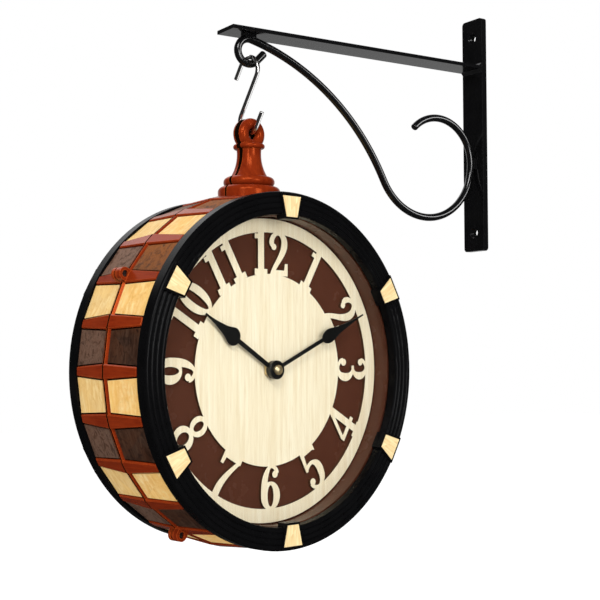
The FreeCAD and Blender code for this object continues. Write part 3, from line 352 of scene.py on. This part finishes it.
def case_lacquer():
    """Mahogany lacquer on slats, seam and finial, with painted highlights on the edges and painted shade, near
    black, under the panels and where the two halves meet.
    """
    material, tree, shader = new_material("case_lacquer", {
        "Metallic": 0.16, "IOR": 1.22, "Specular Tint": colour(1.0, 0.46, 0.13)})
    angle, radius, depth = drum_place(tree)
    grain = noise(tree, stretched(tree, (angle, depth, radius), scales=(90.0, 60.0, 160.0)), detail=5.0)
    mottle = noise(tree, object_place(tree), scale=45.0, detail=3.0)
    tint = mix_colour(tree, mask(tree, grain, NOISE_RANGE),
                      colour(0.125, 0.011, 0.0025), colour(0.200, 0.021, 0.004))
    tint = mix_colour(tree, mask(tree, mottle, (0.35, 0.75), share=0.4), tint,
                      colour(0.245, 0.033, 0.006))
    # Painted highlight: sharp edges are painted a paler orange.
    tint = mix_colour(tree, edge_mask(tree, radius=0.0008), tint, colour(0.48, 0.080, 0.014))
    recess_shade_mask, seam_shade_mask = case_recess(tree)
    # Painted shade: the faces where the two halves meet are painted near black.
    tint = mix_colour(tree, seam_shade_mask, tint, colour(0.006, 0.002, 0.001))
    # Painted shade: the recess floor between the panels is painted near black.
    tint = mix_colour(tree, recess_shade_mask, tint, colour(0.002, 0.001, 0.001))
    gloss = spread(tree, mottle, NOISE_RANGE, (0.18, 0.26))
    dull = math_node(tree, "MAXIMUM", recess_shade_mask, seam_shade_mask)
    finish_surface(tree, shader, tint, math_node(tree, "MAXIMUM", gloss, dull))
    bump(tree, shader, grain, strength=0.02, distance=0.0003)
    return material


def panel_wood(name, pale, deep, vein, blotch_share, roughness,
               painted_light_tones, front_share, rear_share, top_share):
    """Veneer with grain round the drum, each panel with its own cut, painted light and sheen towards the top and
    on the rear half, and painted highlights on the edges.
    """
    material, tree, shader = new_material(name, {"IOR": 1.14})
    angle, _, depth = drum_place(tree)
    along = times(tree, angle, DRUM_RADIUS)
    cut = (along, depth, geometry(tree, "Random Per Island"))
    streaks = noise(tree, stretched(tree, cut, scales=(34.0, 170.0, 57.0)), roughness=0.5, distortion=1.8)
    fine = noise(tree, stretched(tree, cut, scales=(300.0, 900.0, 31.0)), detail=3.0)
    mottle = noise(tree, stretched(tree, cut, scales=(150.0, 180.0, 17.0)),
                   detail=6.0, roughness=0.7, distortion=0.8)
    cloud = noise(tree, stretched(tree, cut, scales=(38.0, 46.0, 91.0)), detail=3.0)
    specks = noise(tree, stretched(tree, cut, scales=(520.0, 560.0, 13.0)), detail=2.0)
    tint = mix_colour(tree, mask(tree, streaks, NOISE_RANGE), deep, pale)
    tint = mix_colour(tree, mask(tree, cloud, (0.38, 0.66), share=0.7), tint, vein)

    # Painted light and sheen: the panels turn towards the painted light tones, by their share beside nine and
    # towards the top.
    rear = math_node(tree, "GREATER_THAN", depth, 0.0)
    beside_nine = mix_number(tree, rear, front_share, rear_share)
    upper = mask(tree, math_node(tree, "ABSOLUTE", angle), TOP_ANGLES)
    share = times(tree, mix_number(tree, upper, beside_nine, top_share),
                  spread(tree, mottle, (0.38, 0.60), (0.15, 1.0)))
    tint = mix_colour(tree, share, tint, mix_colour(tree, rear, *painted_light_tones))

    tint = mix_colour(tree, mask(tree, mottle, (0.52, 0.68), share=blotch_share), tint, deep)
    tint = mix_colour(tree, mask(tree, mottle, (0.46, 0.30), share=0.35), tint, pale)
    tint = mix_colour(tree, mask(tree, fine, (0.54, 0.74), share=0.2), tint, deep)
    tint = mix_colour(tree, mask(tree, specks, (0.66, 0.74), share=0.6), tint, deep)
    # Painted highlight: panel edges are painted paler.
    tint = mix_colour(tree, edge_mask(tree, radius=0.0009, share=0.4), tint, pale)
    finish_surface(tree, shader, tint, spread(tree, fine, NOISE_RANGE, roughness))
    bump(tree, shader, fine, strength=0.15, distance=0.0002)
    return material


def inlay_wood():
    """Pale veneer in the keystones, its grain running out from the dial's centre."""
    material, tree, shader = new_material("inlay_wood", {"Coat Weight": 0.2, "Coat Roughness": 0.2})
    angle, radius, _ = drum_place(tree)
    cut = (angle, radius, geometry(tree, "Random Per Island"))
    lines = noise(tree, stretched(tree, cut, scales=(75.0, 45.0, 40.0)), detail=5.0, roughness=0.6)
    tint = mix_colour(tree, mask(tree, lines, (0.35, 0.68)),
                      colour(0.72, 0.50, 0.22), colour(0.90, 0.74, 0.41))
    finish_surface(tree, shader, tint, spread(tree, lines, NOISE_RANGE, (0.5, 0.38)))
    bump(tree, shader, lines, strength=0.12, distance=0.0002)
    return material


def numeral_wood():
    """Pale birch board with upright grain; the side walls of the cut numerals are painted dark brown as painted
    shade.
    """
    material, tree, shader = new_material("numeral_wood", {"Specular IOR Level": 0.35})
    place = clock_place(tree)
    grain = noise(tree, stretched(tree, place, scales=(300.0, 40.0, 11.0)),
                  detail=6.0, roughness=0.62, distortion=0.5)
    fine = noise(tree, stretched(tree, place, scales=(1500.0, 200.0, 60.0)), detail=3.0)
    tint = mix_colour(tree, mask(tree, grain, (0.30, 0.66)),
                      colour(0.78, 0.65, 0.43), colour(0.90, 0.81, 0.62))
    tint = mix_colour(tree, mask(tree, fine, (0.53, 0.72), share=0.5), tint,
                      colour(0.69, 0.53, 0.31))
    # Painted shade: faces turned across the dial axis, the side walls of the numerals, are painted dark brown.
    facing = along_axis(tree, geometry(tree, "True Normal"), DIAL_AXIS)
    painted_shade_walls = spread(tree, math_node(tree, "ABSOLUTE", facing), (0.3, 0.8), (1.0, 0.0))
    tint = mix_colour(tree, painted_shade_walls, tint, colour(0.085, 0.034, 0.014))
    finish_surface(tree, shader, tint, spread(tree, fine, NOISE_RANGE, (0.45, 0.6)))
    bump(tree, shader, fine, strength=0.1, distance=0.0002)
    return material


def plain_plastic(name, tones, roughness, coat=0.0, sheen=0.5):
    """Moulded plastic or paint: a cloudy tone, uneven gloss and a fine texture."""
    material, tree, shader = new_material(name, {
        "Coat Weight": coat, "Coat Roughness": 0.06, "Specular IOR Level": sheen})
    place = object_place(tree)
    cloud = noise(tree, place, scale=55.0)
    fine = noise(tree, place, scale=1100.0, detail=2.0)
    finish_surface(tree, shader, mix_colour(tree, cloud, *tones),
                   spread(tree, cloud, NOISE_RANGE, roughness))
    bump(tree, shader, fine, strength=0.06, distance=0.0001)
    return material


def metal(name, tones, roughness):
    """Bare or plated metal with fine brush marks."""
    material, tree, shader = new_material(name, {"Metallic": 1.0})
    marks = noise(tree, scaled_place(tree, scale=(1.0, 1.0, 8.0)), scale=700.0)
    finish_surface(tree, shader, mix_colour(tree, marks, *tones),
                   spread(tree, marks, NOISE_RANGE, roughness))
    bump(tree, shader, marks, strength=0.04, distance=0.0001)
    return material


def lens_glass():
    """Flat clear glass: see-through, with a mirror share that follows the angle."""
    material, tree, surface = bare_material("lens_glass")
    smear = noise(tree, object_place(tree), scale=30.0)
    clear = add(tree, "ShaderNodeBsdfTransparent", None, {"Color": colour(0.985, 0.99, 0.985)})
    shine = add(tree, "ShaderNodeBsdfGlossy", None, {
        "Color": WHITE, "Roughness": spread(tree, smear, NOISE_RANGE, (0.01, 0.03))})
    outside = math_node(tree, "SUBTRACT", 1.0, geometry(tree, "Backfacing"))
    fresnel = add(tree, "ShaderNodeFresnel", None, {"IOR": 1.45}).outputs[0]
    mixed = add(tree, "ShaderNodeMixShader", None, {
        0: times(tree, fresnel, outside), 1: clear.outputs[0], 2: shine.outputs[0]})
    tree.links.new(mixed.outputs[0], surface)
    return material


def make_material(slot):
    if slot in PLASTICS:
        return plain_plastic(slot, **PLASTICS[slot])
    if slot in METALS:
        return metal(slot, **METALS[slot])
    if slot in VENEERS:
        return panel_wood(slot, **VENEERS[slot])
    makers = {"black_coat": black_coat, "hook_chrome": hook_chrome, "case_brown": case_lacquer,
              "inlay_wood": inlay_wood, "numeral_wood": numeral_wood, "lens_glass": lens_glass}
    return makers[slot]()


def dress_nodes():
    """Every node of the frame gets the material that its record slot names."""
    made = {}
    for subpart in frame["record"]["subparts"]:
        slot = subpart["material_slot"]
        if slot not in made:
            made[slot] = make_material(slot)
        mesh = frame["nodes"][subpart["node"]].data
        mesh.materials.clear()
        mesh.materials.append(made[slot])


# Stage, light and camera

def camera_back():
    """From the scene to the camera."""
    level = math.cos(CAMERA_ELEVATION)
    return Vector((math.sin(CAMERA_AZIMUTH) * level, -math.cos(CAMERA_AZIMUTH) * level,
                   math.sin(CAMERA_ELEVATION)))


def floor():
    """A pale floor far below the clock; it takes the clock's soft shadow."""
    bpy.ops.mesh.primitive_plane_add(size=FLOOR_SIZE, location=(0.0, 0.0, FLOOR_HEIGHT))
    plane = bpy.context.object
    plane.name = "floor"
    material, tree, surface = bare_material("floor_pale")
    rays = add(tree, "ShaderNodeLightPath").outputs
    offset = vector_math(tree, "SUBTRACT", geometry(tree, "Position"), CLOCK_CENTRE)[0]
    beyond = along_axis(tree, offset, -camera_back())
    mirrored = spread(tree, beyond, (MIRROR_START, MIRROR_FULL), (0.0, FLOOR_MIRROR))
    unseen = times(tree, rays["Is Glossy Ray"], math_node(tree, "SUBTRACT", 1.0, mirrored))
    pale = mix_colour(tree, unseen, colour(FLOOR_GREY, FLOOR_GREY, FLOOR_GREY),
                      colour(FLOOR_GREY_MIRRORED, FLOOR_GREY_MIRRORED, FLOOR_GREY_MIRRORED))
    matt = add(tree, "ShaderNodeBsdfDiffuse", None, {"Color": pale})
    seen = math_node(tree, "ADD", rays["Is Camera Ray"], times(tree, rays["Is Glossy Ray"], mirrored))
    lift = add(tree, "ShaderNodeEmission", None, {
        "Color": WHITE, "Strength": times(tree, seen, FLOOR_LIFT)})
    both = add(tree, "ShaderNodeAddShader", None, {0: matt.outputs[0], 1: lift.outputs[0]})
    tree.links.new(both.outputs[0], surface)
    plane.data.materials.append(material)


def studio():
    """A white surround: even fill for the surfaces, full white where it is seen or mirrored from behind."""
    world = bpy.data.worlds.new("studio")
    bpy.context.scene.world = world
    world.use_nodes = True
    tree = world.node_tree
    background = tree.nodes["Background"].inputs
    rays = add(tree, "ShaderNodeLightPath").outputs
    direction = add(tree, "ShaderNodeTexCoord").outputs["Generated"]
    behind = along_axis(tree, direction, -camera_back())
    mirrored = times(tree, rays["Is Glossy Ray"], spread(tree, behind, SURROUND_EDGE, SURROUND_MIRROR))
    seen = math_node(tree, "MAXIMUM", rays["Is Camera Ray"], rays["Is Transmission Ray"])
    other = math_node(tree, "SUBTRACT", 1.0, math_node(tree, "MAXIMUM", seen, rays["Is Glossy Ray"]))
    direct = math_node(tree, "MAXIMUM", seen, mirrored)
    strength = math_node(tree, "MAXIMUM", direct, times(tree, other, AMBIENT))
    tree.links.new(strength, background["Strength"])
    background["Color"].default_value = WHITE
    world.cycles.sampling_method = "NONE"


def soft_box(name, place, aim, width, height, power):
    light = bpy.data.lights.new(name, "AREA")
    light.shape = "RECTANGLE"
    light.size = width
    light.size_y = height
    light.energy = power
    lamp = bpy.data.objects.new(name, light)
    bpy.context.scene.collection.objects.link(lamp)
    lamp.location = place
    lamp.rotation_euler = (Vector(aim) - Vector(place)).to_track_quat("-Z", "Y").to_euler()
    return lamp


def card(name, nodes, offset, width, height, power):
    """A bright card held beside some pieces and seen in those only."""
    low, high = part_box(nodes[0])
    middle = (low + high) / 2
    lamp = soft_box(name, middle + Vector(offset), middle, width, height, power)
    lit = bpy.data.collections.new(name + "_lit")
    for node in nodes:
        lit.objects.link(frame["nodes"][node])
    lamp.light_linking.receiver_collection = lit


def lights():
    for name, lamp in LAMPS.items():
        soft_box(name, aim=CLOCK_CENTRE, **lamp)
    for name, lamp in CARDS.items():
        card(name, **lamp)


def camera():
    back = camera_back()
    right = Vector((math.cos(CAMERA_AZIMUTH), math.sin(CAMERA_AZIMUTH), 0.0))
    up = back.cross(right)
    rolled = right * math.cos(CAMERA_ROLL) + up * math.sin(CAMERA_ROLL)
    upright = back.cross(rolled)
    data = bpy.data.cameras.new("camera")
    data.sensor_width = SENSOR
    data.sensor_fit = "HORIZONTAL"
    data.lens = FOCAL_PIXELS / IMAGE_PIXELS * SENSOR
    data.clip_end = CLIP_END
    view = bpy.data.objects.new("camera", data)
    bpy.context.scene.collection.objects.link(view)
    rotation = Matrix((rolled, upright, back)).transposed()
    view.matrix_world = Matrix.Translation(CAMERA_PLACE) @ rotation.to_4x4()
    bpy.context.scene.camera = view


dress_nodes()
floor()
studio()
lights()
camera()
bpy.context.scene.view_settings.view_transform = "Standard"
